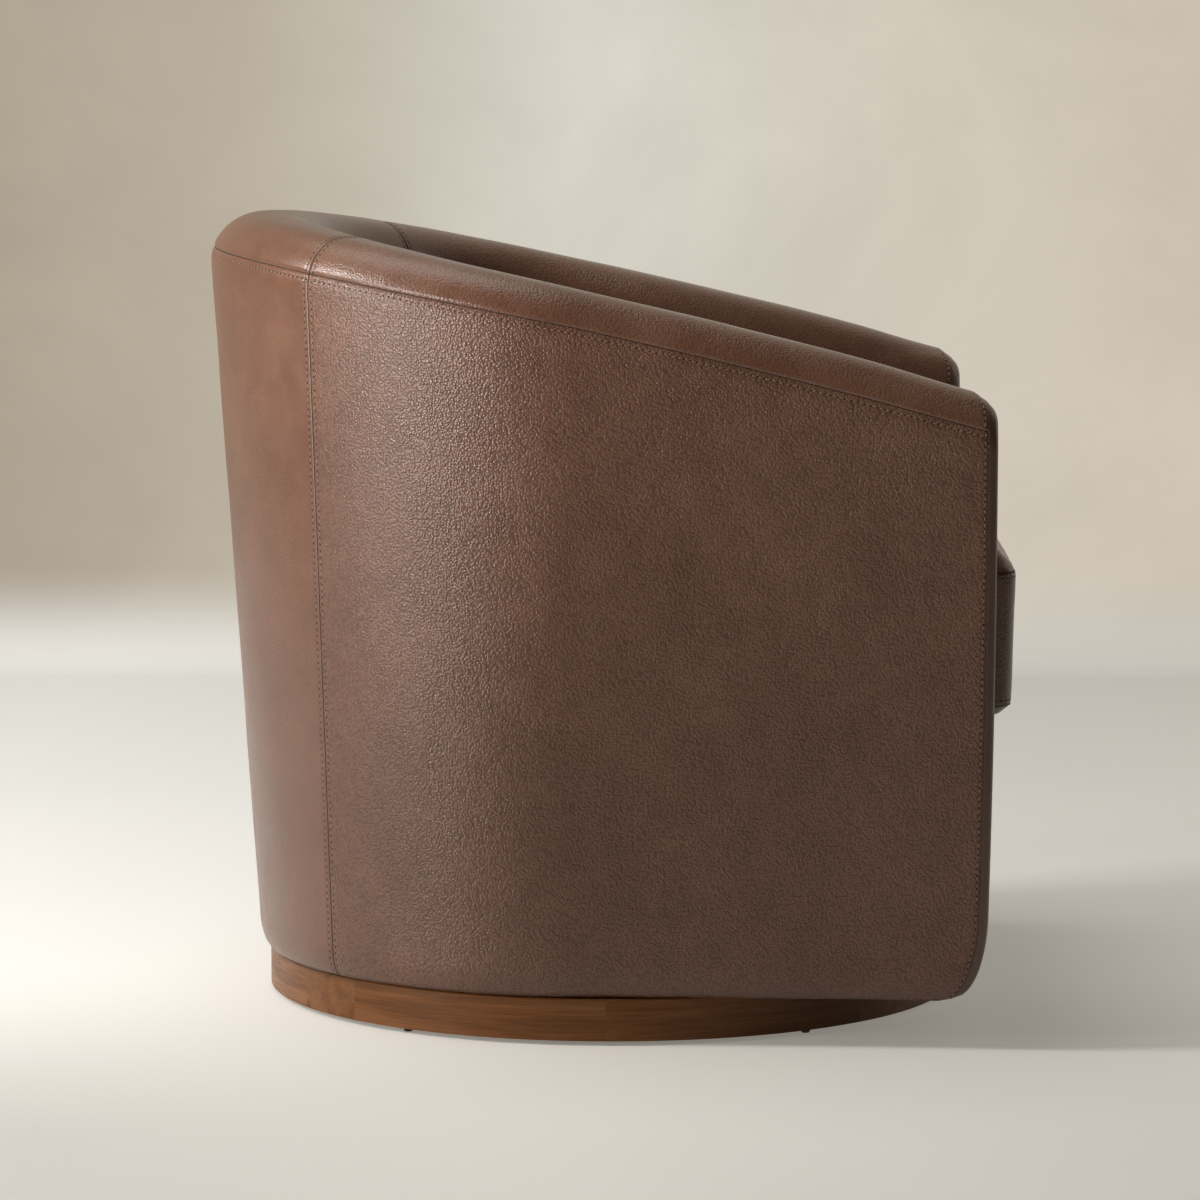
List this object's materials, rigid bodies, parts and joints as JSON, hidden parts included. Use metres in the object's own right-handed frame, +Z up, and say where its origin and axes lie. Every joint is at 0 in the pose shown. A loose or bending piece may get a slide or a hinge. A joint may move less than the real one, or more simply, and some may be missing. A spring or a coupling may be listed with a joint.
{
  "type": "swivel barrel chair",
  "caption": "A swivel barrel chair with a sloping rolled top, upholstered in brown pebbled leather, with a loose crowned seat cushion, on a round walnut plinth.",
  "frame": {"origin": "on the floor, under the swivel axis, which is the middle of the plinth", "axes": "-Z runs down, out of the floor glides' rest face; the sitter faces -Y, so the sitter's left arm is on +X; +Z is up along the swivel axis"},
  "size_m": [0.7538, 0.771, 0.7627],
  "materials": {
    "leather_brown": "pebbled, semi-matt",
    "walnut": "satin oil",
    "plywood": "sawn",
    "frame_timber": "sawn",
    "lining_board": "pressed fibre, matt",
    "foam": "open-cell foam, matt",
    "webbing": "woven elastic",
    "lining_cloth": "woven, matt",
    "zinc_steel": "zinc plated",
    "black_plastic": "moulded"
  },
  "bodies": {
    "base": {"plinth_arcs": "walnut", "plinth_blocks": "walnut", "floor_glides": "black_plastic", "base_board": "plywood", "corner_blocks": "frame_timber", "swivel_lower_plate": "zinc_steel", "lower_plate_screws": "zinc_steel", "swivel_pivot": "zinc_steel"},
    "roller_ring": {"roller_cage": "zinc_steel", "swivel_rollers": "zinc_steel"},
    "seat": {"outer_back_leather": "leather_brown", "outer_left_leather": "leather_brown", "outer_right_leather": "leather_brown", "inside_back_leather": "leather_brown", "inside_left_leather": "leather_brown", "inside_right_leather": "leather_brown", "left_arm_front_leather": "leather_brown", "right_arm_front_leather": "leather_brown", "front_panel_leather": "leather_brown", "seat_board": "plywood", "seat_rail": "plywood", "top_rim": "plywood", "lower_studs": "frame_timber", "upper_studs": "frame_timber", "front_posts": "frame_timber", "front_rail": "frame_timber", "toe_rail": "frame_timber", "back_liner": "lining_board", "left_liner": "lining_board", "right_liner": "lining_board", "back_foam": "foam", "left_foam": "foam", "right_foam": "foam", "arm_front_pads": "foam", "front_rail_pad": "foam", "deck_pad": "foam", "webbing_lengthwise": "webbing", "webbing_crosswise": "webbing", "deck_cloth": "lining_cloth", "dust_cover": "lining_cloth", "swivel_upper_plate": "zinc_steel", "upper_plate_bolts": "zinc_steel"},
    "cushion": {"cushion_core": "foam", "cushion_top_cover": "leather_brown", "cushion_boxing": "leather_brown", "cushion_bottom_cover": "leather_brown"}
  },
  "joints": [
    {"name": "swivel", "type": "hinge", "parent": "base", "child": "seat", "pos_m": [0, 0, 0.038], "axis": [0, 0, 1], "continuous": true},
    {"name": "roller_ring_turn", "type": "hinge", "parent": "base", "child": "roller_ring", "pos_m": [0, 0, 0.038], "axis": [0, 0, 1], "continuous": true},
    {"name": "cushion_lift", "type": "slide", "parent": "seat", "child": "cushion", "axis": [0, 0, 1], "range_m": [0, 0.48]}
  ],
  "couplings": [
    {"joint": "roller_ring_turn", "follows": "swivel", "ratio": 0.5}
  ]
}
